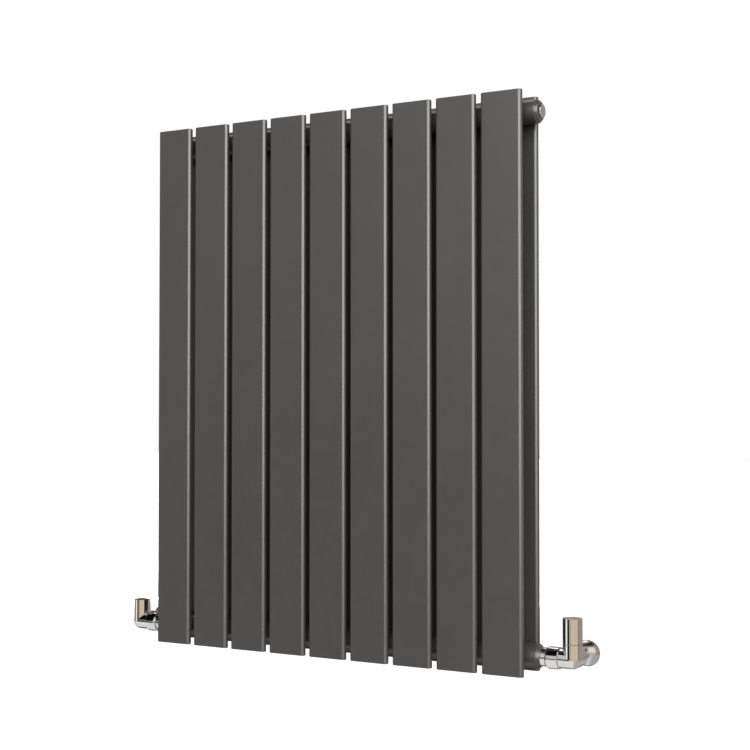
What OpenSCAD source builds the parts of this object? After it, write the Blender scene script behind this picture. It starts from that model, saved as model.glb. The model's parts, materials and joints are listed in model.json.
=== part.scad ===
// Wall-hung double-row flat-tube radiator with corner valves.
// Frame: X along the wall, Y towards the wall (wall face at y = 0), Z up.
// The origin is the centre of the four wall fixing holes, on the wall face.

/* [Flat tubes] */
// Height of every flat tube
tube_height = 800; // [600:10:1000]
// Width of a flat tube
tube_width = 61; // [50:0.5:65]
// Depth of a flat tube
tube_depth = 10; // [9:0.5:11]
// Edge radius of a flat tube's section
tube_edge_radius = 4.5; // [3:0.25:4.5]
// Sheet thickness of a flat tube
tube_wall = 1.5; // [1:0.1:2]
// Distance from one tube centre to the next
tube_pitch = 69.5; // [67:0.5:75]
// Tubes in each row
tube_count = 9; // [9]

/* [Layout] */
// Front face of the front row to the wall
front_to_wall = 95; // [90:1:110]
// Front face of the front row to the front face of the rear row
row_pitch = 57; // [56:1:60]
// Header axis behind the middle of the two rows
header_setback = 4; // [0:0.5:5]
// Valve axis to the middle of the radiator
valve_offset = 366.5; // [365:0.5:370]

/* [Headers] */
// Outer diameter of the header pipes
header_diameter = 33.7; // [33:0.1:35]
// Wall thickness of the header pipes
header_wall = 2.6; // [2:0.1:3.2]
// Top header axis below the tube tops
top_header_inset = 26; // [24:1:40]
// Bottom header axis above the tube bottoms
bottom_header_inset = 24.5; // [24:0.5:40]
// Rim of the header ends past the outer tube edge
header_overhang = 11; // [10:0.5:14]

/* [Valves] */
// Diameter of the valve body and of the wheel head
head_diameter = 27; // [26:0.1:27.5]
// Diameter of the lockshield cap
cap_diameter = 25.8; // [25:0.1:26]
// Top of the wheel head above the valve axis
wheel_head_top = 56; // [52:1:60]
// Top of the lockshield cap above the valve axis
cap_top = 34; // [34:1:40]
// Union nut size across flats
union_nut_flats = 29.5; // [29:0.5:31]
// Supply pipe outer diameter
pipe_diameter = 15; // [15]
// Wall rosette diameter
rosette_diameter = 36.6; // [34:0.2:44]
// Wall rosette depth
rosette_depth = 15; // [12:1:18]

/* [Wall fixing] */
// Fixing holes, distance across
fixing_width = 278; // [278]
// Fixing holes, distance up and down
fixing_height = 550; // [400:10:600]
// Diameter of a fixing hole
fixing_hole = 8.5; // [7:0.5:9]

/* [Hidden] */
$fn = 96;
gap = 0.1;
olive_gap = 0.05;
paint = "#4a4a49";
chrome = "#d2d0cc";
brass = "#b8964e";
rubber = "#222222";
steel = "#9a9c9e";

// Planes and axes
front_y = -front_to_wall;
rear_y = front_y + row_pitch;
header_r = header_diameter / 2;
rows_middle_y = front_y + (row_pitch + tube_depth) / 2;
header_y = rows_middle_y + header_setback;
top_z = tube_height / 2 - top_header_inset;
low_z = -tube_height / 2 + bottom_header_inset;
outer_edge_x = (tube_count - 1) / 2 * tube_pitch + tube_width / 2;
rim_x = outer_edge_x + header_overhang;
header_end_x = rim_x - 4;
boss_x = rim_x + 3.8;

// Connecting necks between headers and tubes
neck_r = 6.5;
neck_bore_r = 4.5;

// Plugs in the top header
plug_flange_r = 9.6;
plug_face_x = boss_x + 3.9;

// Threads, drawn as plain cylinders on their outer diameter
plug_thread_r = 8.3;
tail_thread_r = 10.4;
port_thread_r = 12.9;

// Valve, measured from the crossing of its three axes
body_r = 13.3;
socket_r = 10.5;
head_r = head_diameter / 2;
cap_r = cap_diameter / 2;
body_top = 20.6;
seam = 0.4;
cap_gap = 0.05;
chamber_r = 9.5;
inlet_r = 7;
outlet_r = 4.5;
pipe_stop_y = 10;
cone_y = 21;
cone_slope = 0.38;
seat_z = 1;
seat_r = 5;
nut_near = -17;
nut_far = -35;
nut_crown_r = 15.5;
nut_chamfer = 1.4;
nut_far_taper = 2.4;
nut_near_taper = 1.1;
shoulder_x = -26;
disc_r = 7.5;
disc_base = seat_z + gap + 2;
disc_top = disc_base + 4.5;
bonnet_base = 12.6;
bonnet_collar = 23.6;
spindle_r = 4;
stem_r = 3;
head_cavity_top = 38.2;
head_bore_top = 48.2;
grub_z = 43;
nut_y = 16;
nut_end_y = 28;
wall_y = -header_y;

// Wall brackets and hanging lugs
lug_size = [30, 8.5, 30];
lug_sheet = 2.5;
lug_slot_width = 20;
lug_front = rear_y + tube_depth;
lug_bottom = -30;
steel_thickness = 3;
plate_width = 30;
plate_height = 66;
plate_bottom = -35;
arm_width = 20;
hook_width = 16;
hook_height = 26;
hook_front = -26.5;
sleeve_wall = 1.2;
sleeve_height = 24.4;
sleeve_collar = [8.2, 1.9];

// ---- Helpers ----

// Puts children at the right (side = 1) or left (side = -1) of the middle plane
module on_side(side) mirror([side < 0 ? 1 : 0, 0, 0]) children();

// Puts children at both sides
module both_sides() {
  on_side(1) children();
  on_side(-1) children();
}

// Turns children made about Z so that they lie along X
module along_x() rotate([0, 90, 0]) children();

// Turns children made about Z so that they point at the wall
module along_y() rotate([-90, 0, 0]) children();

// Puts children at the crossing of the right valve's axes
module at_valve() translate([valve_offset, header_y, low_z]) children();

// Solid of revolution about Z from [radius, height] points
module turned(points) rotate_extrude() polygon(points);

// Ring of round section about Z
module ring(inner_r, outer_r, z) {
  section_r = (outer_r - inner_r) / 2;
  translate([0, 0, z]) rotate_extrude() translate([inner_r + section_r, 0]) circle(section_r, $fn = 32);
}

// Rectangle with rounded corners, centred
module rounded_rectangle(width, depth, radius) {
  square([width - 2 * radius, depth], center = true);
  square([width, depth - 2 * radius], center = true);
  for (x = [-1, 1], y = [-1, 1])
    translate([x * (width / 2 - radius), y * (depth / 2 - radius)]) circle(radius, $fn = 48);
}

// ---- Flat tubes ----

// Closed hollow tube whose front face is at y = face_y.
// side = 1 opens its back to the necks, side = -1 opens its front.
module flat_tube(index, face_y, side) {
  center_y = face_y + tube_depth / 2;
  translate([(index - (tube_count + 1) / 2) * tube_pitch, center_y, 0])
    difference() {
      translate([0, 0, -tube_height / 2])
        linear_extrude(tube_height) rounded_rectangle(tube_width, tube_depth, tube_edge_radius);
      translate([0, 0, -tube_height / 2 + tube_wall])
        linear_extrude(tube_height - 2 * tube_wall)
          rounded_rectangle(
            tube_width - 2 * tube_wall, tube_depth - 2 * tube_wall, tube_edge_radius - tube_wall
          );
      for (z = [top_z, low_z])
        translate([0, side * (tube_depth / 2 - tube_wall / 2), z])
          rotate([90, 0, 0]) cylinder(r = neck_bore_r, h = tube_wall + 1, center = true);
    }
}

module front_tube(index) color(paint) flat_tube(index, front_y, 1);

module rear_tube(index) color(paint) flat_tube(index, rear_y, -1);

// ---- Headers ----

// Pipe with a hole for every neck
module header(z) color(paint)
  translate([0, header_y, z]) difference() {
    along_x() cylinder(r = header_r, h = 2 * header_end_x, center = true);
    along_x() cylinder(r = header_r - header_wall, h = 2 * header_end_x + 2, center = true);
    for (i = [1 : tube_count])
      translate([(i - (tube_count + 1) / 2) * tube_pitch, 0, 0])
        rotate([90, 0, 0]) cylinder(r = neck_bore_r, h = 2 * header_r + 2, center = true);
  }

// Short pipes welded between a header and both rows of tubes
module necks(z) color(paint)
  translate([0, rows_middle_y, z]) for (i = [1 : tube_count])
    translate([(i - (tube_count + 1) / 2) * tube_pitch, 0, 0])
      difference() {
        rotate([90, 0, 0]) cylinder(r = neck_r, h = row_pitch - tube_depth, center = true);
        rotate([90, 0, 0]) cylinder(r = neck_bore_r, h = row_pitch, center = true);
        translate([0, header_setback, 0]) along_x() cylinder(r = header_r, h = 3 * neck_r, center = true);
      }

// Welded header end with a bevelled rim, a low domed boss and a threaded hole
module header_end(side, z, hole_r) color(paint)
  on_side(side) translate([0, header_y, z]) along_x() difference() {
    turned([
      [0, header_end_x], [header_r, header_end_x], [header_r, rim_x - 0.8],
      [header_r - 0.8, rim_x], [header_r - 1.7, rim_x + 0.1], [header_r - 2, rim_x + 1.5],
      [header_r - 2.9, rim_x + 2.9], [header_r - 4, boss_x], [0, boss_x]
    ]);
    translate([0, 0, header_end_x - 1]) cylinder(r = hole_r, h = 12);
  }

// ---- Plugs in the top header ----

// Domed plug outline from the thread to the face
module plug_solid() turned([
  [0, boss_x - 9], [plug_thread_r - gap, boss_x - 9], [plug_thread_r - gap, boss_x],
  [7.4, boss_x], [7.4, boss_x + 0.9], [plug_flange_r, boss_x + 0.9], [plug_flange_r, boss_x + 2.2],
  [plug_flange_r - 0.7, boss_x + 3.1], [5, boss_x + 3.7], [0, plug_face_x]
]);

module blanking_plug() color(chrome)
  on_side(-1) translate([0, header_y, top_z]) along_x() difference() {
    plug_solid();
    translate([0, 0, boss_x + 1.5]) cylinder(r = 3.4, h = 4, $fn = 6);
    translate([0, 0, boss_x - 10]) cylinder(r = 5, h = 8);
  }

module vent_plug() color(chrome)
  translate([0, header_y, top_z]) along_x() difference() {
    plug_solid();
    translate([0, 0, boss_x - 4]) cylinder(r = 2.5, h = 9);
    translate([0, 0, boss_x - 10]) cylinder(r = 1, h = 9);
    translate([0, 0, boss_x + 1.55]) along_x() cylinder(r = 0.5, h = 12);
  }

module plug_seals() color(rubber) both_sides()
  translate([0, header_y, top_z]) along_x() ring(7.45, 8.25, boss_x + 0.45);

module bleed_screw() color(chrome)
  translate([0, header_y, top_z]) along_x() difference() {
    turned([
      [0, boss_x - 3.9], [0.8, boss_x - 3.9], [2.42, boss_x - 2.4],
      [2.42, plug_face_x - 0.3], [0, plug_face_x - 0.3]
    ]);
    translate([0, 0, plug_face_x - 0.3]) cube([0.8, 6, 2.4], center = true);
  }

// ---- Wall fixing ----

// Puts children at the four fixing holes; the hooks point up at all four
module at_fixings() for (x = [-1, 1], z = [-1, 1])
  translate([x * fixing_width / 2, 0, z * fixing_height / 2]) children();

// Channel welded to the back of the rear tubes, open at the bottom for the hook
module hanging_lugs() color(paint) at_fixings()
  translate([-lug_size.x / 2, lug_front, lug_bottom]) difference() {
    cube(lug_size);
    translate([(lug_size.x - lug_slot_width) / 2, -1, -1])
      cube([lug_slot_width, lug_size.y - lug_sheet + 1, lug_size.z + 2]);
  }

// Wall plate, arm and upright hook
module wall_brackets() color(steel) at_fixings() difference() {
  union() {
    translate([-plate_width / 2, -steel_thickness, plate_bottom])
      cube([plate_width, steel_thickness, plate_height]);
    translate([-arm_width / 2, hook_front, plate_bottom])
      cube([arm_width, -hook_front - steel_thickness + gap, steel_thickness]);
    translate([-hook_width / 2, hook_front, plate_bottom])
      cube([hook_width, steel_thickness, hook_height]);
  }
  rotate([90, 0, 0]) cylinder(d = fixing_hole, h = 20, center = true);
}

// Plastic sleeves between the hooks and the lugs
module hook_sleeves() color(rubber) at_fixings() difference() {
  width = hook_width + 2 * sleeve_wall;
  union() {
    translate([-width / 2, hook_front - sleeve_wall, plate_bottom + steel_thickness])
      cube([width, steel_thickness + 2 * sleeve_wall, sleeve_height]);
    translate([-width / 2, hook_front - sleeve_wall, plate_bottom + steel_thickness])
      cube([width, sleeve_collar.x, sleeve_collar.y]);
  }
  translate([-hook_width / 2, hook_front, plate_bottom])
    cube([hook_width, steel_thickness, hook_height]);
}

// ---- Valve pieces, in the right valve's place before mirroring ----

// Radius of the cone in the pipe socket at a height along the pipe
function cone_r(y) = pipe_diameter / 2 + gap + (y - cone_y) * cone_slope;

// Three ports that meet at right angles, with the seat between them
module valve_body(side, shell_r) color(chrome) on_side(side) at_valve() difference() {
  union() {
    sphere(r = body_r);
    rotate([0, -90, 0]) cylinder(r = body_r, h = -nut_near);
    rotate([0, -90, 0]) cylinder(r = port_thread_r, h = -shoulder_x - 1);
    along_y() cylinder(r = body_r, h = nut_y);
    along_y() cylinder(r = socket_r, h = 25);
    cylinder(r = shell_r, h = body_top);
  }
  translate([0, 0, seat_z]) cylinder(r = chamber_r, h = body_top);
  translate([0, 0, -8]) cylinder(r = seat_r, h = 10);
  translate([-inlet_r, 0, 0]) rotate([0, -90, 0]) cylinder(r = inlet_r, h = 30);
  translate([0, 0, -5]) along_y() cylinder(r = outlet_r, h = 12);
  translate([0, pipe_stop_y, 0]) along_y() cylinder(r = pipe_diameter / 2 + gap, h = 20);
  along_y() turned([
    [0, cone_y], [cone_r(cone_y), cone_y], [cone_r(cone_y + 4.2), cone_y + 4.2], [0, cone_y + 4.2]
  ]);
}

// Threaded tail that the union nut pulls against the body
module tailpiece(side) color(chrome) on_side(side)
  translate([0, header_y, low_z]) along_x() difference() {
    turned([
      [0, boss_x - 9], [tail_thread_r, boss_x - 9], [tail_thread_r, boss_x],
      [12.6, boss_x], [13, boss_x + 0.4], [13, boss_x + 6.2], [12.4, boss_x + 6.8],
      [11, boss_x + 6.8], [11, valve_offset + shoulder_x - 3],
      [12.7, valve_offset + shoulder_x - 3], [12.7, valve_offset + shoulder_x],
      [0, valve_offset + shoulder_x]
    ]);
    translate([0, 0, boss_x - 10]) cylinder(r = 7.5, h = 40);
    translate([0, 0, valve_offset + shoulder_x - 1.2]) difference() {
      cylinder(r = 11, h = 4);
      translate([0, 0, -1]) cylinder(r = 9, h = 6);
    }
  }

// Hexagon about Z between two heights, with its corners turned down to crown_r.
// Both ends are chamfered, over low_taper and high_taper of its length.
module crowned_hexagon(flats, crown_r, low, high, chamfer, low_taper, high_taper) intersection() {
  translate([0, 0, low]) rotate([0, 0, 30]) cylinder(r = flats / 2 / cos(30), h = high - low, $fn = 6);
  turned([
    [0, low], [crown_r - chamfer, low], [crown_r, low + low_taper],
    [crown_r, high - high_taper], [crown_r - chamfer, high], [0, high]
  ]);
}

module union_nut(side) color(chrome) on_side(side)
  translate([valve_offset, header_y, low_z]) along_x() difference() {
    crowned_hexagon(
      union_nut_flats, nut_crown_r, nut_far, nut_near - gap, nut_chamfer, nut_far_taper, nut_near_taper
    );
    translate([0, 0, nut_far - 1]) cylinder(r = 11.1, h = 30);
    translate([0, 0, nut_far + 5]) cylinder(r = port_thread_r + gap, h = 30);
  }

// Headwork: threaded plug with hexagon and tower that guides the spindle
module bonnet(side, tower_top) color(brass) on_side(side) at_valve() difference() {
  union() {
    translate([0, 0, bonnet_base]) cylinder(r = chamber_r - gap, h = body_top - bonnet_base);
    translate([0, 0, body_top]) cylinder(r = 10.2, h = bonnet_collar - body_top, $fn = 6);
    translate([0, 0, body_top]) cylinder(r = 7, h = tower_top - body_top);
  }
  cylinder(r = spindle_r + 0.08, h = 60);
  translate([0, 0, 15]) cylinder(r = 5.6, h = 2.2);
  translate([0, 0, bonnet_base]) difference() {
    translate([0, 0, 2.9]) cylinder(r = 12, h = 1.7);
    translate([0, 0, 1]) cylinder(r = 8, h = 5);
  }
}

// Rising spindle with a foot in the disc and a narrower driving end
module spindle(side, shaft_top, stem_top) color(brass) on_side(side) at_valve() difference() {
  union() {
    translate([0, 0, disc_base + 2.2]) cylinder(r = stem_r - 0.1, h = 6);
    translate([0, 0, disc_top + 0.5]) cylinder(r = spindle_r, h = shaft_top - disc_top - 0.5);
    translate([0, 0, shaft_top - 1]) cylinder(r = stem_r, h = stem_top - shaft_top + 1);
  }
  translate([0, 0, stem_top]) cube([8, 0.9, 2.4], center = true);
}

module valve_disc(side) color(brass) on_side(side) at_valve() difference() {
  union() {
    translate([0, 0, disc_base]) cylinder(r = disc_r, h = 2.5);
    translate([0, 0, disc_base]) cylinder(r = 5.2, h = disc_top - disc_base);
  }
  translate([0, 0, disc_base + 2]) cylinder(r = stem_r + 0.2, h = 6);
}

module disc_washer(side) color(rubber) on_side(side) at_valve()
  translate([0, 0, seat_z + gap]) cylinder(r = 7, h = 2);

// Hollow turning head with a solid crown that grips the spindle
module wheel_head() color(chrome) at_valve() difference() {
  turned([
    [0, body_top + seam], [head_r - 0.3, body_top + seam], [head_r, body_top + seam + 0.3],
    [head_r, wheel_head_top - 0.9], [head_r - 0.7, wheel_head_top - 0.25],
    [head_r - 5, wheel_head_top], [0, wheel_head_top]
  ]);
  translate([0, 0, body_top]) cylinder(r = 10.8, h = head_cavity_top - body_top);
  translate([0, 0, body_top]) cylinder(r = stem_r + 0.05, h = head_bore_top - body_top);
  translate([0, 0, grub_z]) along_y() cylinder(r = 2.05, h = 20);
}

module head_screw() color(steel) at_valve() translate([0, 0, grub_z]) along_y() difference() {
  translate([0, 0, stem_r + gap]) cylinder(r = 2, h = 9);
  translate([0, 0, stem_r + gap + 6.5]) cylinder(r = 1.15, h = 4, $fn = 6);
}

// Pull-off cap over the lockshield spindle
module lockshield_cap() color(chrome) on_side(-1) at_valve() difference() {
  turned([
    [0, body_top + cap_gap], [cap_r - 0.05, body_top + cap_gap], [cap_r, body_top + cap_gap + 0.05],
    [cap_r, cap_top - 0.7], [cap_r - 0.6, cap_top - 0.1], [cap_r - 4, cap_top], [0, cap_top]
  ]);
  translate([0, 0, body_top]) cylinder(r = 10.6, h = cap_top - body_top - 2.5);
}

module compression_nut(side) color(chrome) on_side(side) at_valve() along_y() difference() {
  turned([
    [0, nut_y + gap], [11.6, nut_y + gap], [12.2, nut_y + 3], [12.2, nut_end_y - 1.2],
    [11.2, nut_end_y], [0, nut_end_y]
  ]);
  cylinder(r = 10.6, h = 25.2);
  cylinder(r = pipe_diameter / 2 + gap, h = 60);
}

module supply_pipe(side) color(chrome) on_side(side) at_valve() along_y() difference() {
  translate([0, 0, 11]) cylinder(d = pipe_diameter, h = wall_y - 11);
  translate([0, 0, 10]) cylinder(d = pipe_diameter - 1.4, h = wall_y);
}

// Bell-shaped cover against the wall around the pipe
module wall_rosette(side) color(chrome) on_side(side) at_valve()
  translate([0, wall_y, 0]) rotate([90, 0, 0]) difference() {
    bell(rosette_diameter / 2, rosette_depth);
    bell(rosette_diameter / 2 - 1.2, rosette_depth - 1.2);
    cylinder(r = pipe_diameter / 2 + gap, h = rosette_depth + 5);
  }

// Quarter-ellipse profile turned about Z
module bell(radius, height) turned(concat(
  [[0, 0]],
  [for (a = [0 : 6 : 90]) [radius * cos(a), height * sin(a)]]
));

module union_seals() color(rubber) both_sides()
  translate([valve_offset, header_y, low_z]) along_x() ring(9.1, 10.9, shoulder_x - 0.1);

module bonnet_seals() color(rubber) both_sides() at_valve() ring(8.05, 9.4, bonnet_base + 3.75);

module spindle_seals() color(rubber) both_sides() at_valve() ring(4.1, 5.55, 16.1);

// Brass rings squeezed between the socket's cone and the compression nut
module olives() color(brass) both_sides() at_valve() along_y() difference() {
  turned([
    [0, cone_y + 0.4], [cone_r(cone_y + 0.4) - olive_gap, cone_y + 0.4],
    [cone_r(cone_y + 3.4) - olive_gap, cone_y + 3.4], [cone_r(cone_y + 3.4) - olive_gap, cone_y + 3.6],
    [8.2, cone_y + 4.1], [0, cone_y + 4.1]
  ]);
  cylinder(d = pipe_diameter + 0.02, h = 40);
}

// ---- Nodes ----

for (i = [1 : 9]) {
  front_tube(i);
  rear_tube(i);
}
header(top_z);  // top_header
header(low_z);  // bottom_header
necks(top_z);  // top_necks
necks(low_z);  // bottom_necks
header_end(-1, top_z, plug_thread_r);  // top_end_left
header_end(1, top_z, plug_thread_r);  // top_end_right
header_end(-1, low_z, tail_thread_r + gap);  // bottom_end_left
header_end(1, low_z, tail_thread_r + gap);  // bottom_end_right
blanking_plug();
vent_plug();
plug_seals();
bleed_screw();
hanging_lugs();
wall_brackets();
hook_sleeves();
valve_body(1, head_r);  // valve_body_right
tailpiece(1);  // tailpiece_right
union_nut(1);  // union_nut_right
bonnet(1, 31);  // bonnet_right
spindle(1, 32, 46);  // spindle_right
valve_disc(1);  // valve_disc_right
disc_washer(1);  // disc_washer_right
wheel_head();
head_screw();
compression_nut(1);  // compression_nut_right
supply_pipe(1);  // supply_pipe_right
wall_rosette(1);  // wall_rosette_right
valve_body(-1, cap_r);  // valve_body_left
tailpiece(-1);  // tailpiece_left
union_nut(-1);  // union_nut_left
bonnet(-1, 24.6);  // bonnet_left
spindle(-1, 24, 27);  // spindle_left
valve_disc(-1);  // valve_disc_left
disc_washer(-1);  // disc_washer_left
lockshield_cap();
compression_nut(-1);  // compression_nut_left
supply_pipe(-1);  // supply_pipe_left
wall_rosette(-1);  // wall_rosette_left
union_seals();
bonnet_seals();
spindle_seals();
olives();
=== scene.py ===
"""Looks of the wall-hung flat-tube radiator: painted tubes and headers, chrome corner valves.

Lengths named in millimetres are turned into metres with MM. Every place comes from the frame.
"""
import json
import math

import bmesh
import bpy
from mathutils import Matrix, Vector
from mathutils.bvhtree import BVHTree

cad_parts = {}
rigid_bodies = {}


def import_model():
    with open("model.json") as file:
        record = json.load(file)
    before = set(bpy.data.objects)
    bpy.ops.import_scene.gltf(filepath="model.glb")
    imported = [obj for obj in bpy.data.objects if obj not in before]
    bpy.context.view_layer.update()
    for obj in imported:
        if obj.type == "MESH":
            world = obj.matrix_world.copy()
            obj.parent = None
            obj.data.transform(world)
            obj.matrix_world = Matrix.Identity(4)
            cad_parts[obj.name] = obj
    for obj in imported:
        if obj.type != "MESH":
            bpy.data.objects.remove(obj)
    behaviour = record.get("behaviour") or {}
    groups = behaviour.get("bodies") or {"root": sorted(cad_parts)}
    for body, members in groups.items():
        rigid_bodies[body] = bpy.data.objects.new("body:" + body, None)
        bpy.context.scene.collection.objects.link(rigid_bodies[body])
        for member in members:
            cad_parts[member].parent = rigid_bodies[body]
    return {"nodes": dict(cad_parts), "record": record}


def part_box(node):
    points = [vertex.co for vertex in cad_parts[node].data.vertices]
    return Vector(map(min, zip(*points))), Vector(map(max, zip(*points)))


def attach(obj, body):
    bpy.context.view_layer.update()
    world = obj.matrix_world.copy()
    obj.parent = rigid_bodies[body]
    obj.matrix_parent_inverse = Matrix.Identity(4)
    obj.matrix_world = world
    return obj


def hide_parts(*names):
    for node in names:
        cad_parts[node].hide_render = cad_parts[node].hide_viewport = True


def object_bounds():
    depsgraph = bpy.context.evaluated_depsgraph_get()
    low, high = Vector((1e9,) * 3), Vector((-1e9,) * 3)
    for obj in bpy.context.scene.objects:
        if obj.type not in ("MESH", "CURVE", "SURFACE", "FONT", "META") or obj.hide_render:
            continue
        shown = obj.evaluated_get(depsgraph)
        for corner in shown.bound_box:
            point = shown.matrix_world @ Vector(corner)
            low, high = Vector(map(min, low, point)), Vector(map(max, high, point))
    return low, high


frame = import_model()
cad_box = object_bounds()

MM = 0.001
X, Y, Z = Vector((1, 0, 0)), Vector((0, 1, 0)), Vector((0, 0, 1))
TUBES = 9


# ---------------------------------------------------------------- materials

NOISE_LOW, NOISE_HIGH = 0.3, 0.7


class NodeTree:
    """Shorthand for making and linking the nodes of a tree."""

    def __init__(self, tree):
        self.tree = tree

    def new(self, kind, **settings):
        node = self.tree.nodes.new(kind)
        for key, value in settings.items():
            setattr(node, key, value)
        return node

    def link(self, source, target):
        self.tree.links.new(source, target)


class Shader(NodeTree):
    """A node material under construction: a Principled shader plus helpers for its inputs."""

    def __init__(self, name):
        self.material = bpy.data.materials.new(name)
        self.material.use_nodes = True
        super().__init__(self.material.node_tree)
        self.principled = self.tree.nodes["Principled BSDF"]
        self.coordinates = self.new("ShaderNodeTexCoord").outputs["Object"]

    def noise(self, scale, detail, stretch=(1, 1, 1)):
        """Noise over the object's own coordinates; scale is features per metre."""
        mapping = self.new("ShaderNodeMapping")
        mapping.inputs["Scale"].default_value = stretch
        self.link(self.coordinates, mapping.inputs["Vector"])
        noise = self.new("ShaderNodeTexNoise")
        noise.inputs["Scale"].default_value = scale
        noise.inputs["Detail"].default_value = detail
        self.link(mapping.outputs["Vector"], noise.inputs["Vector"])
        return noise.outputs["Fac"]

    def spread(self, noise, low, high):
        """Maps the range where most of the noise lies onto low to high."""
        node = self.new("ShaderNodeMapRange")
        node.inputs["From Min"].default_value = NOISE_LOW
        node.inputs["From Max"].default_value = NOISE_HIGH
        node.inputs["To Min"].default_value = low
        node.inputs["To Max"].default_value = high
        self.link(noise, node.inputs["Value"])
        return node.outputs["Result"]

    def tint(self, noise, dark, light):
        """Base colour between dark and light, mixed by the noise."""
        mix = self.new("ShaderNodeMix", data_type="RGBA")
        mix.inputs["A"].default_value = (*dark, 1)
        mix.inputs["B"].default_value = (*light, 1)
        self.link(self.spread(noise, 0, 1), mix.inputs["Factor"])
        self.link(mix.outputs["Result"], self.principled.inputs["Base Color"])

    def roughness(self, noise, low, high):
        self.link(self.spread(noise, low, high), self.principled.inputs["Roughness"])

    def bump(self, height, depth, strength, under=None):
        """Bump of the given depth in metres, on top of an earlier one."""
        node = self.new("ShaderNodeBump")
        node.inputs["Strength"].default_value = strength
        node.inputs["Distance"].default_value = depth
        self.link(height, node.inputs["Height"])
        if under is not None:
            self.link(under, node.inputs["Normal"])
        self.link(node.outputs["Normal"], self.principled.inputs["Normal"])
        return node.outputs["Normal"]

    def metal(self):
        self.principled.inputs["Metallic"].default_value = 1.0


def painted_steel():
    """Satin anthracite powder coat: faint mottling, orange peel and a fine grain."""
    s = Shader("anthracite_powder_coat")
    s.tint(s.noise(9, 3), (0.0240, 0.0234, 0.0230), (0.0266, 0.0260, 0.0256))
    s.roughness(s.noise(60, 3), 0.30, 0.34)
    peel = s.bump(s.noise(420, 1), 0.000012, 0.6)
    s.bump(s.noise(2600, 1), 0.000004, 0.5, peel)
    s.principled.inputs["Specular IOR Level"].default_value = 0.6
    return s.material


def polished_chrome():
    """Bright chrome plate with faint polishing lines and a trace of haze."""
    s = Shader("polished_chrome")
    s.tint(s.noise(30, 2), (0.80, 0.795, 0.79), (0.86, 0.855, 0.85))
    s.roughness(s.noise(140, 4), 0.035, 0.075)
    s.bump(s.noise(500, 2, (1, 1, 6)), 0.0000012, 0.4)
    s.metal()
    return s.material


def satin_chrome():
    """Chrome plate over pressed sheet: the same metal with a softer, slightly streaked sheen."""
    s = Shader("satin_chrome")
    s.tint(s.noise(30, 2), (0.74, 0.735, 0.73), (0.82, 0.815, 0.81))
    s.roughness(s.noise(110, 4), 0.22, 0.27)
    s.bump(s.noise(600, 2, (1, 5, 1)), 0.000002, 0.4)
    s.metal()
    return s.material


def machined_brass():
    """Turned brass with fine tool marks."""
    s = Shader("machined_brass")
    s.tint(s.noise(80, 3), (0.55, 0.40, 0.18), (0.66, 0.50, 0.25))
    s.roughness(s.noise(300, 3), 0.22, 0.34)
    s.bump(s.noise(900, 2, (1, 1, 8)), 0.00001, 0.5)
    s.metal()
    return s.material


def black_rubber():
    """Matt rubber with a fine grain."""
    s = Shader("seal_rubber")
    s.tint(s.noise(120, 3), (0.012, 0.012, 0.012), (0.022, 0.022, 0.021))
    s.roughness(s.noise(500, 2), 0.62, 0.78)
    s.bump(s.noise(2500, 2), 0.00002, 0.6)
    return s.material


def moulded_plastic():
    """Black moulded plastic with a light spark-eroded texture."""
    s = Shader("sleeve_plastic")
    s.tint(s.noise(60, 2), (0.018, 0.018, 0.019), (0.028, 0.028, 0.029))
    s.roughness(s.noise(300, 2), 0.42, 0.55)
    s.bump(s.noise(1800, 3), 0.00002, 0.5)
    return s.material


def zinc_steel():
    """Zinc-plated sheet: soft spangle, rolling direction and light wear."""
    s = Shader("zinc_plated_steel")
    s.tint(s.noise(70, 4), (0.40, 0.41, 0.42), (0.56, 0.57, 0.58))
    s.roughness(s.noise(160, 4, (1, 1, 5)), 0.26, 0.44)
    s.bump(s.noise(700, 3, (1, 1, 6)), 0.00001, 0.4)
    s.metal()
    return s.material


MATERIALS = {
    "paint": painted_steel(),
    "chrome": polished_chrome(),
    "brass": machined_brass(),
    "seal": black_rubber(),
    "sleeve": moulded_plastic(),
    "steel": zinc_steel(),
}
SATIN = satin_chrome()
SLOT_OF = {part["node"]: part["material_slot"] for part in frame["record"]["subparts"]}
BODY_OF = {
    node: body
    for body, members in frame["record"]["behaviour"]["bodies"].items()
    for node in members
}

for node_name, node_object in frame["nodes"].items():
    for slot in node_object.material_slots:
        slot.material = MATERIALS[SLOT_OF[node_name]]


# ---------------------------------------------------------------- meshes

NO_TURN = 1e-4            # radians: an outline corner this flat is left as it is
LONGEST_REACH = 0.45      # share of the shorter neighbour that a fillet may take up
ON_AXIS = 1e-6            # millimetres from the axis at which a ring shrinks to one point
SAME_FACING = 0.8         # least cosine between normals that face the same way
SEARCH = 0.05 * MM        # how far a corner's source surface may be
FACING_WEIGHT = 0.001 * MM      # what facing the same way counts for, as a distance
MERGE = 0.0005 * MM       # points closer than this become one after a boolean
CAD_MERGE = 0.001 * MM    # and in a CAD mesh


def shade_smooth(mesh):
    mesh.polygons.foreach_set("use_smooth", [True] * len(mesh.polygons))


def new_object(name, mesh):
    obj = bpy.data.objects.new(name, mesh)
    bpy.context.scene.collection.objects.link(obj)
    return obj


def build_mesh(name, points, faces, corner_normals):
    """Mesh with smooth faces and exact normals, one for every face corner in order."""
    mesh = bpy.data.meshes.new(name)
    mesh.from_pydata([tuple(p) for p in points], [], faces)
    shade_smooth(mesh)
    mesh.normals_split_custom_set([tuple(n.normalized()) for n in corner_normals])
    mesh.update()
    return mesh


def stand_for(obj, node):
    """Makes obj the shown form of a CAD node: the material of the node's slot, its body, and the
    CAD node hidden.
    """
    obj.data.materials.clear()
    obj.data.materials.append(MATERIALS[SLOT_OF[node]])
    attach(obj, BODY_OF[node])
    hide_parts(node)
    return obj


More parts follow.
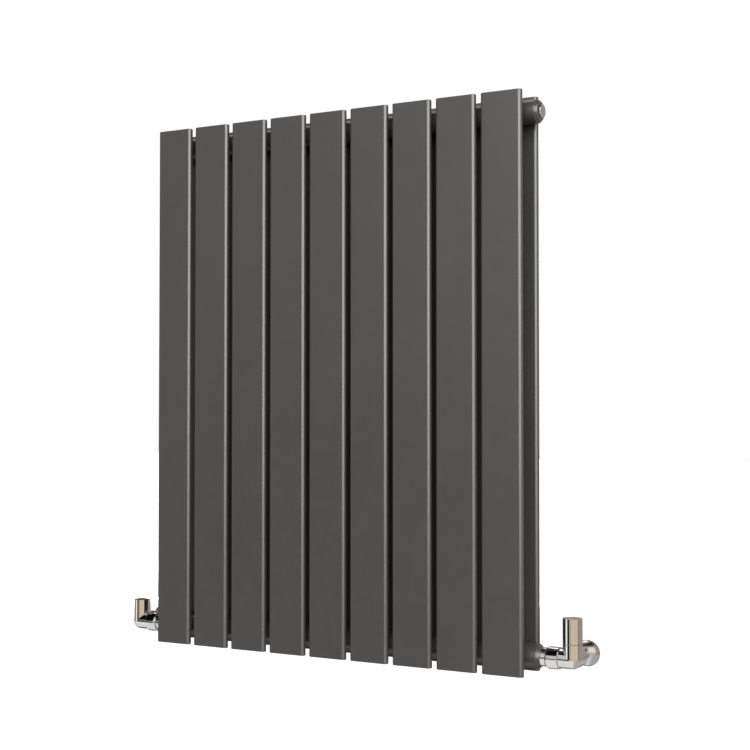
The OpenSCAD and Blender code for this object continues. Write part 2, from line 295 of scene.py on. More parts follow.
def filleted(corners, closed=False, step=math.radians(12)):
    """Outline samples (radius, height, normal) from corners (radius, height, fillet radius).

    The outline runs with the solid on its left, so a normal points to the right of travel.
    """
    count = len(corners)
    samples = []
    for i, (r, h, fillet) in enumerate(corners):
        here = Vector((r, h))
        before = Vector(corners[i - 1][:2]) if closed or i > 0 else None
        after = Vector(corners[(i + 1) % count][:2]) if closed or i < count - 1 else None
        if before is None or after is None:
            along = (after - here) if before is None else (here - before)
            along.normalize()
            samples.append((here, Vector((along.y, -along.x))))
            continue
        come, leave = (here - before).normalized(), (after - here).normalized()
        turn = come.angle_signed(leave, 0.0)
        size = abs(turn)
        if size < NO_TURN:
            samples.append((here, Vector((come.y, -come.x))))
            continue
        longest = LONGEST_REACH * min((here - before).length, (after - here).length)
        reach = min(fillet * math.tan(size / 2), longest)
        radius = reach / math.tan(size / 2)
        side = -math.copysign(1, turn)
        start = here - come * reach
        center = start + Vector((-come.y, come.x)) * radius * side
        steps = max(2, round(size / step))
        for k in range(steps + 1):
            angle = side * size * k / steps
            spoke = start - center
            c, s = math.cos(angle), math.sin(angle)
            spoke = Vector((spoke.x * c - spoke.y * s, spoke.x * s + spoke.y * c))
            way = Vector((come.x * c - come.y * s, come.x * s + come.y * c))
            samples.append((center + spoke, Vector((way.y, -way.x))))
    return samples


def placed(origin, axis):
    """Matrix that puts a piece made about Z at origin, along axis."""
    return Matrix.Translation(origin) @ axis.to_track_quat("Z", "Y").to_matrix().to_4x4()


def lathe(name, origin, axis, corners, closed=False, segments=128):
    """Piece turned about an axis from corners in millimetres. A closed outline leaves a bore."""
    samples = filleted(corners, closed)
    points, normals, rings = [], [], []
    for place, normal in samples:
        if place.x < ON_AXIS:
            rings.append([len(points)] * segments)
            points.append(Vector((0, 0, place.y)) * MM)
            normals.append(Vector((0, 0, normal.y)))
            continue
        rings.append(list(range(len(points), len(points) + segments)))
        for k in range(segments):
            a = 2 * math.pi * k / segments
            c, s = math.cos(a), math.sin(a)
            points.append(Vector((place.x * c, place.x * s, place.y)) * MM)
            normals.append(Vector((normal.x * c, normal.x * s, normal.y)))
    faces, corner_normals = [], []
    pairs = list(zip(rings, rings[1:])) + ([(rings[-1], rings[0])] if closed else [])
    for low, high in pairs:
        for k in range(segments):
            n = (k + 1) % segments
            face = list(dict.fromkeys((low[k], low[n], high[n], high[k])))
            faces.append(face)
            corner_normals.extend(normals[v] for v in face)
    mesh = build_mesh(name, points, faces, corner_normals)
    obj = new_object(name, mesh)
    turn_into_place(obj, placed(origin, axis))
    return obj


def turn_into_place(obj, matrix):
    """Moves the mesh itself, keeping its exact normals."""
    mesh = obj.data
    rotation = matrix.to_3x3()
    kept = [rotation @ Vector(c.vector) for c in mesh.corner_normals]
    mesh.transform(matrix)
    mesh.normals_split_custom_set([tuple(n.normalized()) for n in kept])
    mesh.update()


def joined(name, parts):
    """One object from several, with their exact normals."""
    points, faces, corner_normals = [], [], []
    for part in parts:
        start = len(points)
        points.extend(v.co.copy() for v in part.data.vertices)
        faces.extend([start + v for v in p.vertices] for p in part.data.polygons)
        corner_normals.extend(Vector(c.vector) for c in part.data.corner_normals)
    obj = new_object(name, build_mesh(name, points, faces, corner_normals))
    for part in parts:
        discard(part)
    return obj


def discard(obj):
    mesh = obj.data
    bpy.data.objects.remove(obj)
    bpy.data.meshes.remove(mesh)


class NormalSource:
    """Exact normals of a finished mesh, looked up by place; sign -1 for a cutting mesh."""

    def __init__(self, obj, sign=1):
        mesh = obj.data
        mesh.calc_loop_triangles()
        self.sign = sign
        self.triangles = [(t.vertices[:], t.loops[:]) for t in mesh.loop_triangles]
        self.points = [v.co.copy() for v in mesh.vertices]
        self.normals = [Vector(c.vector) for c in mesh.corner_normals]
        self.tree = BVHTree.FromPolygons(self.points, [t[0] for t in self.triangles])

    def near(self, place, facing):
        """Distance to the surface, or None where it faces another way."""
        spot, normal, _, distance = self.tree.find_nearest(place)
        if spot is None or normal.dot(facing) * self.sign < SAME_FACING:
            return None
        return distance

    def at(self, place, facing):
        """Exact normal at the place, on the triangle that faces the same way."""
        best = None
        for spot, normal, index, distance in self.tree.find_nearest_range(place, SEARCH):
            fit = distance - FACING_WEIGHT * normal.dot(facing) * self.sign
            if best is None or fit < best[0]:
                best = (fit, spot, index)
        if best is None:
            spot, _, index, _ = self.tree.find_nearest(place)
            best = (0, spot, index)
        corners, loops = self.triangles[best[2]]
        a, b, c = (self.points[v] for v in corners)
        weights = barycentric(best[1], a, b, c)
        total = Vector((0, 0, 0))
        for weight, loop in zip(weights, loops):
            total += self.normals[loop] * weight
        return total.normalized() * self.sign


def barycentric(p, a, b, c):
    """Weights of the triangle's corners a, b and c at the point p."""
    ab, ac, ap = b - a, c - a, p - a
    d00, d01, d11, d20, d21 = ab.dot(ab), ab.dot(ac), ac.dot(ac), ap.dot(ab), ap.dot(ac)
    size = d00 * d11 - d01 * d01
    if abs(size) < 1e-30:
        return 1 / 3, 1 / 3, 1 / 3
    v, w = (d11 * d20 - d01 * d21) / size, (d00 * d21 - d01 * d20) / size
    return 1 - v - w, v, w


def combined(name, base, added=(), cut=()):
    """Boolean of finished pieces that keeps every surface's exact normals."""
    sources = [NormalSource(o) for o in (base, *added)] + [NormalSource(o, -1) for o in cut]
    for other, operation in [(o, "UNION") for o in added] + [(o, "DIFFERENCE") for o in cut]:
        modifier = base.modifiers.new("shape", "BOOLEAN")
        modifier.operation, modifier.object, modifier.solver = operation, other, "EXACT"
    bpy.context.view_layer.update()
    depsgraph = bpy.context.evaluated_depsgraph_get()
    mesh = bpy.data.meshes.new_from_object(base.evaluated_get(depsgraph))
    mesh.name = name
    bm = bmesh.new()
    bm.from_mesh(mesh)
    bmesh.ops.remove_doubles(bm, verts=bm.verts, dist=MERGE)
    bmesh.ops.dissolve_degenerate(bm, edges=bm.edges, dist=MERGE)
    bm.to_mesh(mesh)
    bm.free()
    shade_smooth(mesh)
    corner_normals = []
    for polygon in mesh.polygons:
        middle, facing = polygon.center, polygon.normal
        found = [(s.near(middle, facing), s) for s in sources]
        found = [f for f in found if f[0] is not None]
        source = min(found, key=lambda f: f[0])[1] if found else None
        for v in polygon.vertices:
            place = mesh.vertices[v].co
            corner_normals.append(source.at(place, facing) if source else facing.copy())
    mesh.normals_split_custom_set([tuple(n) for n in corner_normals])
    mesh.update()
    for piece in (base, *added, *cut):
        discard(piece)
    return new_object(name, mesh)


# ---------------------------------------------------------------- places from the frame

def center_of(node):
    low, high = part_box(node)
    return (Vector(low) + Vector(high)) / 2


def half_extent(node, axis):
    """Half a node's length along axis 0, 1 or 2, in millimetres."""
    low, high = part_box(node)
    return (high[axis] - low[axis]) / 2 / MM


def along_header(node):
    """Origin and outward axis of a piece on a header's line, and its two ends in millimetres."""
    low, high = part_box(node)
    center = center_of(node)
    side = math.copysign(1, center.x)
    start, end = sorted((low[0] * side / MM, high[0] * side / MM))
    return Vector((0, center.y, center.z)), X * side, start, end


def crossing(side_name):
    """Where a valve's three axes cross."""
    head = center_of("wheel_head" if side_name == "right" else "lockshield_cap")
    pipe = center_of("supply_pipe_" + side_name)
    return Vector((head.x, head.y, pipe.z))


def from_crossing(node, side_name, axis):
    """A node's two ends along axis 0, 1 or 2, in millimetres from the valve's crossing."""
    cross = crossing(side_name)[axis]
    low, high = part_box(node)
    return (low[axis] - cross) / MM, (high[axis] - cross) / MM


# ---------------------------------------------------------------- flat tubes

TUBE_EDGE = 4.5           # radius of the long edges
TUBE_END_BEVEL = 0.9
TUBE_BEVEL_STEPS = 5


def tube_outline(width, depth, radius, inset, steps=16):
    """Rounded rectangle drawn in by inset, with its outward normals."""
    r = radius - inset
    outline = []
    for quarter, (sx, sy) in enumerate(((1, 1), (-1, 1), (-1, -1), (1, -1))):
        center = Vector((sx * (width / 2 - radius), sy * (depth / 2 - radius)))
        for k in range(steps + 1):
            a = math.pi / 2 * (quarter + k / steps)
            way = Vector((math.cos(a), math.sin(a)))
            outline.append((center + way * r, way))
    return outline


def flat_tube(node):
    """Closed flat tube with softly bevelled ends."""
    low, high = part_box(node)
    low, high = Vector(low) / MM, Vector(high) / MM
    size, middle = high - low, (low + high) / 2
    sweep = [math.pi / 2 * k / TUBE_BEVEL_STEPS for k in range(TUBE_BEVEL_STEPS + 1)]
    levels = []
    for end in (-1, 1):
        for a in (reversed(sweep) if end < 0 else sweep):
            inset = TUBE_END_BEVEL * (1 - math.cos(a))
            height = end * (size.z / 2 - TUBE_END_BEVEL * (1 - math.sin(a)))
            levels.append((inset, height, math.cos(a), end * math.sin(a)))
    points, normals, rings = [], [], []
    for inset, height, flat, rise in levels:
        outline = tube_outline(size.x, size.y, TUBE_EDGE, inset)
        rings.append(range(len(points), len(points) + len(outline)))
        for place, way in outline:
            points.append((middle + Vector((place.x, place.y, height))) * MM)
            normals.append(Vector((way.x * flat, way.y * flat, rise)))
    count = len(rings[0])
    faces, corner_normals = [], []
    for low_ring, high_ring in zip(rings, rings[1:]):
        for k in range(count):
            n = (k + 1) % count
            face = (low_ring[k], low_ring[n], high_ring[n], high_ring[k])
            faces.append(face)
            corner_normals.extend(normals[v] for v in face)
    for ring, way in ((list(reversed(rings[0])), -Z), (list(rings[-1]), Z)):
        faces.append(ring)
        corner_normals.extend([way] * len(ring))
    mesh = build_mesh(node, points, faces, corner_normals)
    return stand_for(new_object(node + "_sheet", mesh), node)


for row in ("front_tube", "rear_tube"):
    for number in range(1, TUBES + 1):
        flat_tube(f"{row}_{number}")


# ---------------------------------------------------------------- headers

NECK_RADIUS = 6.5
NECK_SUNK = 4             # how far a neck starts inside its header's surface
WELD = 2.0                # fillet of a neck against its tube
BOSS_HEIGHT = 3.8         # a header end's boss over its flat rim
PLUG_THREAD = 8.2
TAIL_THREAD = 10.4
THREAD_GAP = 0.1


def header_pipe(node):
    radius, half = half_extent(node, 2), half_extent(node, 0)
    outline = [(0, -half, 0), (radius, -half, 0.2), (radius, half, 0.2), (0, half, 0)]
    pipe = lathe(node + "_pipe", center_of(node), X, outline, segments=160)
    return stand_for(pipe, node)


def welded_necks(node, header):
    """Necks from the header to both rows, each with a weld fillet against its tube."""
    axis = center_of(header)
    start = half_extent(header, 2) - NECK_SUNK
    parts = []
    for row, way in (("front_tube", -Y), ("rear_tube", Y)):
        for number in range(1, TUBES + 1):
            tube_low, tube_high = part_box(f"{row}_{number}")
            face = tube_high[1] if way.y < 0 else tube_low[1]
            reach = abs(face - axis.y) / MM
            outline = [
                (0, start, 0), (NECK_RADIUS, start, 0.5),
                (NECK_RADIUS, reach - WELD, WELD), (NECK_RADIUS + WELD, reach, 0.05), (0, reach, 0),
            ]
            origin = Vector(((tube_low[0] + tube_high[0]) / 2, axis.y, axis.z))
            parts.append(lathe("neck", origin, way, outline, segments=48))
    return stand_for(joined(node + "_welded", parts), node)


for level in ("top", "bottom"):
    header_pipe(level + "_header")
    welded_necks(level + "_necks", level + "_header")


def header_end(node, hole):
    """Bevelled rim and low domed boss around a threaded hole of the given radius."""
    origin, outward, start, end = along_header(node)
    radius = half_extent(node, 2)
    rim = end - BOSS_HEIGHT
    outline = [
        (hole, start, 0.1), (radius, start, 0.35),
        (radius, rim - 0.8, 0.15), (radius - 0.8, rim, 0.12), (radius - 1.8, rim + 0.05, 0.15),
        (radius - 2.1, rim + 1.5, 1.2), (radius - 3, rim + 2.9, 1.2), (radius - 4.1, end, 0.8),
        (hole, end, 0.3),
    ]
    return stand_for(lathe(node + "_turned", origin, outward, outline, True, 160), node)


for side_name in ("left", "right"):
    header_end("top_end_" + side_name, PLUG_THREAD + THREAD_GAP)
    header_end("bottom_end_" + side_name, TAIL_THREAD + THREAD_GAP)


# ---------------------------------------------------------------- plugs

PLUG_FLANGE = 9.6
PLUG_NECK = 7.4
PLUG_HEAD_HEIGHT = 3.9    # neck and flange together


def plug(node, recess, depth):
    """Thread, neck and domed flange with a round recess of the given radius and depth."""
    origin, outward, base, face = along_header(node)
    boss = face - PLUG_HEAD_HEIGHT
    outline = [
        (0, base, 0), (PLUG_THREAD, base, 0.5), (PLUG_THREAD, boss, 0.1),
        (PLUG_NECK, boss + 0.01, 0.1), (PLUG_NECK, boss + 0.9, 0.1),
        (PLUG_FLANGE, boss + 0.9, 0.3), (PLUG_FLANGE, boss + 2.2, 0.4),
        (PLUG_FLANGE - 0.7, boss + 3.1, 0.8), (5, boss + 3.7, 3.0), (recess, face, 0.15),
        (recess, face - depth, 0.05), (0, face - depth, 0),
    ]
    return stand_for(lathe(node + "_turned", origin, outward, outline), node)


plug("vent_plug", 2.5, 8)
plug("blanking_plug", 3.4, 2.4)


# ---------------------------------------------------------------- valves

BODY_RADIUS, BODY_TOP = 13.3, 20.6
UNION_SHOULDER, PIPE_SHOULDER = 17, 16            # where the full width ends
UNION_THREAD, PIPE_THREAD = 12.88, 10.5           # radii of the outside threads
PORT_END = 25             # end of both threads, from the crossing
UNION_BORE, PIPE_BORE, HEADWORK_BORE = 7, 7.6, 9.5
CUT_END = 30              # end of a cutting bar, clear of the body
NUT_CORNER = 10           # radius of a nut's side edges, which are nearly round
NUT_CHAMFER = 1.4         # width of both chamfers
NUT_LOW_TAPER, NUT_HIGH_TAPER = 2.4, 1.1
NUT_SOFT_SIDE, NUT_SOFT_CONE = 0.25, 0.15         # softened edge, to either side of it
HEAD_SCREW_HEIGHT = 43    # over the crossing
HEAD_SCREW_HOLE = 2.05


def stub(origin, axis, start, end, radius, edge, segments=128):
    """Solid round bar with softened ends, for building bodies."""
    outline = [(0, start, 0), (radius, start, edge), (radius, end, edge), (0, end, 0)]
    return lathe("stub", origin, axis, outline, segments=segments)


def ball(origin, radius, steps=48):
    rise = [math.pi * (k / steps - 0.5) for k in range(steps + 1)]
    outline = [(radius * max(0, math.cos(a)), radius * math.sin(a), 0) for a in rise]
    obj = lathe("ball", origin, Z, outline)
    outward = [(v.co - origin).normalized() for v in obj.data.vertices]
    obj.data.normals_split_custom_set([tuple(outward[l.vertex_index]) for l in obj.data.loops])
    return obj


def valve_body(side_name, head, edge):
    """Three ports at right angles with a rounded elbow between them, as wide as the head on top."""
    node = "valve_body_" + side_name
    shell_radius = half_extent(head, 0)
    cross = crossing(side_name)
    inward = -X if side_name == "right" else X
    base = ball(cross, BODY_RADIUS)
    added = [
        stub(cross, inward, 0, UNION_SHOULDER, BODY_RADIUS, 0.3),
        stub(cross, inward, 5, PORT_END, UNION_THREAD, 0.5),
        stub(cross, Y, 0, PIPE_SHOULDER, BODY_RADIUS, 0.3),
        stub(cross, Y, 5, PORT_END, PIPE_THREAD, 0.4),
        stub(cross, Z, 0, BODY_TOP, shell_radius, edge),
    ]
    cut = [
        stub(cross, inward, 9, CUT_END, UNION_BORE, 0),
        stub(cross, Y, 10, CUT_END, PIPE_BORE, 0),
        stub(cross, Z, 1, 25, HEADWORK_BORE, 0),
    ]
    return stand_for(combined(node + "_cast", base, added, cut), node)


def tailpiece(side_name):
    """Thread into the header end, collar, shank and the flange that the union nut pulls on."""
    node = "tailpiece_" + side_name
    origin, outward, base, end = along_header(node)
    bore, collar, shank, flange = 7.5, 13, 11, 12.7
    collar_start, collar_end, flange_start = base + 9, base + 15.8, end - 3
    outline = [
        (bore, base, 0.3), (TAIL_THREAD, base, 0.5), (TAIL_THREAD, collar_start, 0.1),
        (collar, collar_start + 0.01, 0.4), (collar, collar_end, 0.6),
        (shank, collar_end, 0.2), (shank, flange_start, 0.2),
        (flange, flange_start, 0.2), (flange, end, 0.3), (bore, end, 0.3),
    ]
    return stand_for(lathe(node + "_turned", origin, outward, outline, True), node)


def rounded_hexagon(flats, corner, steps=6, straight=14):
    """Hexagon outline with rounded corners: places and outward normals, flats up and down."""
    inner = flats / 2 - corner
    outline = []
    for side in range(6):
        facing = math.pi / 2 + math.pi / 3 * side
        way = Vector((math.cos(facing), math.sin(facing)))
        along = Vector((-way.y, way.x))
        half = inner * math.tan(math.pi / 6)
        for k in range(straight + 1):
            outline.append((way * (flats / 2) + along * half * (2 * k / straight - 1), way))
        pivot = way * inner + along * half
        for k in range(1, steps):
            a = facing + math.pi / 3 * k / steps
            turned = Vector((math.cos(a), math.sin(a)))
            outline.append((pivot + turned * corner, turned))
    return outline


def hexagon_nut(name, origin, axis, up, low, high, flats, bore, lip, lip_length):
    """Crowned nut: long chamfer at its low end, short one at its high end, stepped bore."""
    outline = rounded_hexagon(flats, NUT_CORNER)
    chamfer_start = max(p.length for p, _ in outline) - NUT_CHAMFER
    count = len(outline)
    points, faces, corner_normals = [], [], []
    flat_way = [Vector((w.x, w.y, 0)) for _, w in outline]
    radial = [p.normalized() for p, _ in outline]
    inward = [Vector((-d.x, -d.y, 0)) for d in radial]
    down, upward = [-Z] * count, [Z] * count

    def ring(places):
        start = len(points)
        points.extend(Vector(p) * MM for p in places)
        return range(start, start + count)

    def circle(radius, height):
        return ring([(d.x * radius, d.y * radius, height) for d in radial])

    def edge_ring(height, away, taper, inset=0.0, back=0.0):
        """Ring at the chamfer's edge, moved in along the cone or back along the side."""
        places = []
        for p, _ in outline:
            share = 1 - inset / p.length
            drop = max(0.0, (p * share).length - chamfer_start) * taper / NUT_CHAMFER
            places.append((p.x * share, p.y * share, height + away * (drop + back)))
        return ring(places)

    def chamfered_end(height, away, taper):
        """Rings from the side to the flat face of one end, each with its normals."""
        tilt = math.atan2(taper, NUT_CHAMFER)
        out, rise = math.sin(tilt), -away * math.cos(tilt)
        cone = [Vector((d.x * out, d.y * out, rise)) for d in radial]
        soft = [(side + slope).normalized() for side, slope in zip(flat_way, cone)]
        return [
            (edge_ring(height, away, taper, back=NUT_SOFT_SIDE), flat_way),
            (edge_ring(height, away, taper), soft),
            (edge_ring(height, away, taper, inset=NUT_SOFT_CONE), cone),
            (circle(chamfer_start - 0.01, height), cone),
        ]

    def band(first, second, first_normals=None, second_normals=None):
        """Faces from one ring to the next; each ring brings its normals unless others are given."""
        (low_ring, low_normals), (high_ring, high_normals) = first, second
        low_normals, high_normals = first_normals or low_normals, second_normals or high_normals
        for k in range(count):
            n = (k + 1) % count
            faces.append((low_ring[k], low_ring[n], high_ring[n], high_ring[k]))
            corner_normals.extend((low_normals[k], low_normals[n]))
            corner_normals.extend((high_normals[n], high_normals[k]))

    low_end = chamfered_end(low, 1, NUT_LOW_TAPER)
    high_end = chamfered_end(high, -1, NUT_HIGH_TAPER)
    step = low + lip_length
    lip_low, lip_high = (circle(lip, low), inward), (circle(lip, step), inward)
    bore_low, bore_high = (circle(bore, step), inward), (circle(bore, high), inward)
    sides = [*reversed(low_end), *high_end]
    for first, second in zip(sides, sides[1:]):
        band(first, second)
    band(high_end[-1], bore_high, upward, upward)
    band(bore_high, bore_low)
    band(bore_low, lip_high, upward, upward)
    band(lip_high, lip_low)
    band(lip_low, low_end[-1], down, down)
    obj = new_object(name, build_mesh(name, points, faces, corner_normals))
    across = up.cross(axis)
    turn = Matrix((across, up, axis)).transposed().to_4x4()
    turn_into_place(obj, Matrix.Translation(origin) @ turn)
    return obj


def union_nut(side_name):
    node = "union_nut_" + side_name
    origin, outward, low, high = along_header(node)
    flats = 2 * half_extent(node, 2)
    piece = hexagon_nut(node + "_hex", origin, outward, Z, low, high, flats, 13.0, 11.1, 5)
    return stand_for(piece, node)


def wheel_head():
    """Smooth round head, hollow below, with the hole for its fixing screw at the back."""
    cross = crossing("right")
    base, top = from_crossing("wheel_head", "right", 2)
    radius = half_extent("wheel_head", 0)
    socket, hollow = 3.05, 10.8
    outline = [
        (0, top - 7.8, 0), (socket, top - 7.8, 0.1), (socket, top - 17.8, 0.3),
        (hollow, top - 17.8, 1.0), (hollow, base, 0.2), (radius, base, 0.15),
        (radius, top - 0.5, 0.5), (radius - 5, top - 0.05, 3), (0, top, 0),
    ]
    head = lathe("head", cross, Z, outline, segments=192)
    hole = stub(cross + Z * HEAD_SCREW_HEIGHT * MM, Y, 5, 20, HEAD_SCREW_HOLE, 0, 48)
    return stand_for(combined("wheel_head_turned", head, cut=[hole]), "wheel_head")


def lockshield_cap():
    """Plain round cap, hollow below."""
    base, top = from_crossing("lockshield_cap", "left", 2)
    radius = half_extent("lockshield_cap", 0)
    hollow = 10.6
    outline = [
        (0, top - 2.5, 0), (hollow, top - 2.5, 0.8), (hollow, base, 0.2), (radius, base, 0.03),
        (radius, top - 0.4, 0.4), (radius - 4, top - 0.05, 2), (0, top, 0),
    ]
    piece = lathe("lockshield_cap_turned", crossing("left"), Z, outline, segments=192)
    return stand_for(piece, "lockshield_cap")


def compression_nut(side_name):
    """Round nut on the thread towards the wall, narrower at both ends."""
    node = "compression_nut_" + side_name
    base, end = from_crossing(node, side_name, 1)
    thread = PIPE_THREAD + THREAD_GAP
    thread_end = end - 2.8
    outline = [
        (thread, base, 0.15), (11.6, base, 0.4), (12.2, base + 2.9, 0.8), (12.2, end - 1.2, 0.5),
        (11.2, end, 0.4), (PIPE_BORE, end, 0.3), (PIPE_BORE, thread_end, 0.1),
        (thread, thread_end, 0.3),
    ]
    return stand_for(lathe(node + "_turned", crossing(side_name), Y, outline, True), node)


def supply_pipe(side_name, sheet=0.7):
    node = "supply_pipe_" + side_name
    base, end = from_crossing(node, side_name, 1)
    radius = half_extent(node, 2)
    bore = radius - sheet
    outline = [(bore, base, 0.15), (radius, base, 0.25), (radius, end, 0.25), (bore, end, 0.15)]
    return stand_for(lathe(node + "_drawn", crossing(side_name), Y, outline, True, 96), node)


def bell(radius, depth, hole, steps=24):
    """Quarter ellipse from the wall to the hole, as outline corners."""
    last = math.acos(hole / radius)
    sweep = [last * k / steps for k in range(steps + 1)]
    fillets = [0.3] + [6] * (steps - 1) + [0.3]
    return [(radius * math.cos(a), depth * math.sin(a), f) for a, f in zip(sweep, fillets)]


def wall_rosette(side_name):
    """Thin pressed bell with a rolled rim, open around the pipe."""
    node = "wall_rosette_" + side_name
    cross = crossing(side_name)
    radius = half_extent(node, 2)
    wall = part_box(node)[1][1]
    depth, sheet = 15, 1.2
    outer, inner = bell(radius, depth, PIPE_BORE), bell(radius - sheet, depth - sheet, PIPE_BORE)
    outline = outer + inner[::-1]
    origin = Vector((cross.x, wall, cross.z))
    piece = stand_for(lathe(node + "_pressed", origin, -Y, outline, True, 160), node)
    piece.data.materials[0] = SATIN
    return piece


valve_body("right", "wheel_head", 0.45)
valve_body("left", "lockshield_cap", 0.03)
for side_name in ("left", "right"):
    for make in (tailpiece, union_nut, compression_nut, supply_pipe, wall_rosette):
        make(side_name)
wheel_head()
lockshield_cap()


# ---------------------------------------------------------------- wall fixing

SAME_PLANE = math.radians(1)
SHARP_EDGE = math.radians(40)


def softened(node, bevel):
    """The CAD solid with small bevels on its sharp edges."""
    mesh = frame["nodes"][node].data.copy()
    bm = bmesh.new()
    bm.from_mesh(mesh)
    bmesh.ops.remove_doubles(bm, verts=bm.verts, dist=CAD_MERGE)
    bmesh.ops.dissolve_limit(bm, angle_limit=SAME_PLANE, verts=bm.verts, edges=bm.edges)
    sharp = [e for e in bm.edges if e.is_manifold and e.calc_face_angle(0) > SHARP_EDGE]
    bmesh.ops.bevel(
        bm, geom=sharp, offset=bevel * MM, offset_type="OFFSET", segments=3, profile=0.5,
        affect="EDGES", clamp_overlap=True,
    )
    bm.to_mesh(mesh)
    bm.free()
    shade_smooth(mesh)
    obj = new_object(node + "_formed", mesh)
    modifier = obj.modifiers.new("faces", "WEIGHTED_NORMAL")
    modifier.keep_sharp = True
    return stand_for(obj, node)


softened("wall_brackets", 0.35)
softened("hanging_lugs", 0.4)
softened("hook_sleeves", 0.3)


# ---------------------------------------------------------------- camera, floor and light

CAMERA_PLACE = (1.0502, -1.8374, -0.04075)
CAMERA_RISE, CAMERA_TURN = 1.506, 29.067          # degrees above level and from the wall's normal
CAMERA_LENS, CAMERA_SENSOR = 66.74, 36            # millimetres
FLOOR_DROP, FLAG_DROP = 0.15, 0.1                 # metres below the object
FLOOR_HALF, FLAG_HALF = 12, 1.5                   # metres from the middle to a side
FLOOR_GLOW = 1.1                                  # just past white
KEY_LIGHT = {
    "azimuth": 35, "elevation": 20, "distance": 12.0, "size": (20.8, 10.6), "radiance": 7.8,
}
BACK_LIGHT = {"elevation": 0, "distance": 1.8, "size": (0.9, 1.6), "radiance": 13.0}
BACK_AZIMUTH = 127                                # on both sides


def make_camera():
    """Camera on the right of the radiator, slightly below its middle, looking a little up."""
    data = bpy.data.cameras.new("camera")
    data.sensor_width = CAMERA_SENSOR
    data.lens = CAMERA_LENS
    data.clip_start, data.clip_end = 0.05, 50
    camera = bpy.data.objects.new("camera", data)
    camera.location = CAMERA_PLACE
    camera.rotation_euler = (math.radians(90 + CAMERA_RISE), 0, math.radians(CAMERA_TURN))
    bpy.context.scene.collection.objects.link(camera)
    bpy.context.scene.camera = camera


def make_sheet(name, half, height, color):
    """Level square of the given half width, marked as staging; returns it and its shader."""
    bm = bmesh.new()
    bmesh.ops.create_grid(bm, x_segments=1, y_segments=1, size=half)
    mesh = bpy.data.meshes.new(name)
    bm.to_mesh(mesh)
    bm.free()
    sheet = new_object(name, mesh)
    sheet.location = (0, 0, height)
    material = bpy.data.materials.new(name)
    material.use_nodes = True
    principled = material.node_tree.nodes["Principled BSDF"]
    principled.inputs["Base Color"].default_value = (*color, 1)
    principled.inputs["Roughness"].default_value = 0.9
    mesh.materials.append(material)
    return sheet, principled


def make_floor():
    """Plain white floor for the camera; it neither lights nor shades the object."""
    floor, principled = make_sheet("floor", FLOOR_HALF, cad_box[0][2] - FLOOR_DROP, (0.9, 0.9, 0.9))
    principled.inputs["Emission Color"].default_value = (1, 1, 1, 1)
    principled.inputs["Emission Strength"].default_value = FLOOR_GLOW
    floor.visible_glossy = False
    floor.visible_diffuse = False
    floor.visible_shadow = False


def make_flag():
    """Black flag that keeps stray light off the paint; the camera and reflections look past it."""
    flag, _ = make_sheet("flag_below", FLAG_HALF, cad_box[0][2] - FLAG_DROP, (0.01, 0.01, 0.01))
    flag.visible_camera = False
    flag.visible_glossy = False


class World(NodeTree):
    """Node tree of the studio around the object, as a function of direction."""

    def __init__(self):
        world = bpy.data.worlds.new("studio")
        bpy.context.scene.world = world
        world.use_nodes = True
        super().__init__(world.node_tree)
        self.tree.nodes.clear()
        axes = self.new("ShaderNodeSeparateXYZ")
        self.link(self.new("ShaderNodeTexCoord").outputs["Generated"], axes.inputs[0])
        x, y, z = axes.outputs
        turn = self.math("ARCTAN2", x, self.math("MULTIPLY", y, -1))
        self.azimuth = self.math("MULTIPLY", turn, 180 / math.pi)
        self.elevation = self.math("MULTIPLY", self.math("ARCSINE", z), 180 / math.pi)

    def feed(self, socket, value):
        """Links a node's output to the socket, or sets a colour or number on it."""
        if isinstance(value, tuple):
            socket.default_value = (*value, 1)
        elif isinstance(value, (int, float)):
            socket.default_value = value
        else:
            self.link(value, socket)

    def math(self, operation, a, b=0.0):
        node = self.new("ShaderNodeMath", operation=operation)
        self.feed(node.inputs[0], a)
        self.feed(node.inputs[1], b)
        return node.outputs[0]

    def mixed(self, factor, first, second):
        node = self.new("ShaderNodeMix", data_type="RGBA")
        self.feed(node.inputs["Factor"], factor)
        self.feed(node.inputs["A"], first)
        self.feed(node.inputs["B"], second)
        return node.outputs["Result"]

    def between(self, value, low, high, soft):
        """1 between low and high degrees, fading to 0 over the soft width."""
        rise = self.fade(value, low - soft, low + soft)
        fall = self.fade(value, high + soft, high - soft)
        return self.math("MULTIPLY", rise, fall)

    def fade(self, value, start, end):
        """0 at start to 1 at end, smoothly; start may be the larger one."""
        node = self.new("ShaderNodeMapRange", interpolation_type="SMOOTHSTEP")
        self.feed(node.inputs["Value"], value)
        low, high = min(start, end), max(start, end)
        node.inputs["From Min"].default_value = low
        node.inputs["From Max"].default_value = high
        node.inputs["To Min"].default_value = 0 if start < end else 1
        node.inputs["To Max"].default_value = 1 if start < end else 0
        return node.outputs["Result"]

    def panel(self, picture, color, azimuths, elevations, soft=1.5):
        """Adds a panel that covers the given azimuths and elevations, in degrees."""
        across = self.between(self.azimuth, *azimuths, soft)
        up = self.between(self.elevation, *elevations, soft)
        return self.mixed(self.math("MULTIPLY", across, up), picture, color)


def make_soft_box(name, azimuth, elevation, distance, size, radiance):
    """Soft box that points at the middle of the object.

    Its angles are those of make_studio, and its radiance has the unit of the studio's panels.
    """
    lamp = bpy.data.lights.new(name, "AREA")
    lamp.shape = "RECTANGLE"
    lamp.size, lamp.size_y = size
    lamp.energy = radiance * math.pi * size[0] * size[1]
    light = bpy.data.objects.new(name, lamp)
    bpy.context.scene.collection.objects.link(light)
    turn, rise = math.radians(azimuth), math.radians(elevation)
    level = distance * math.cos(rise)
    light.location = (level * math.sin(turn), -level * math.cos(turn), distance * math.sin(rise))
    light.rotation_euler = (math.radians(90) - rise, 0, turn)
    light.visible_camera = False
    return light


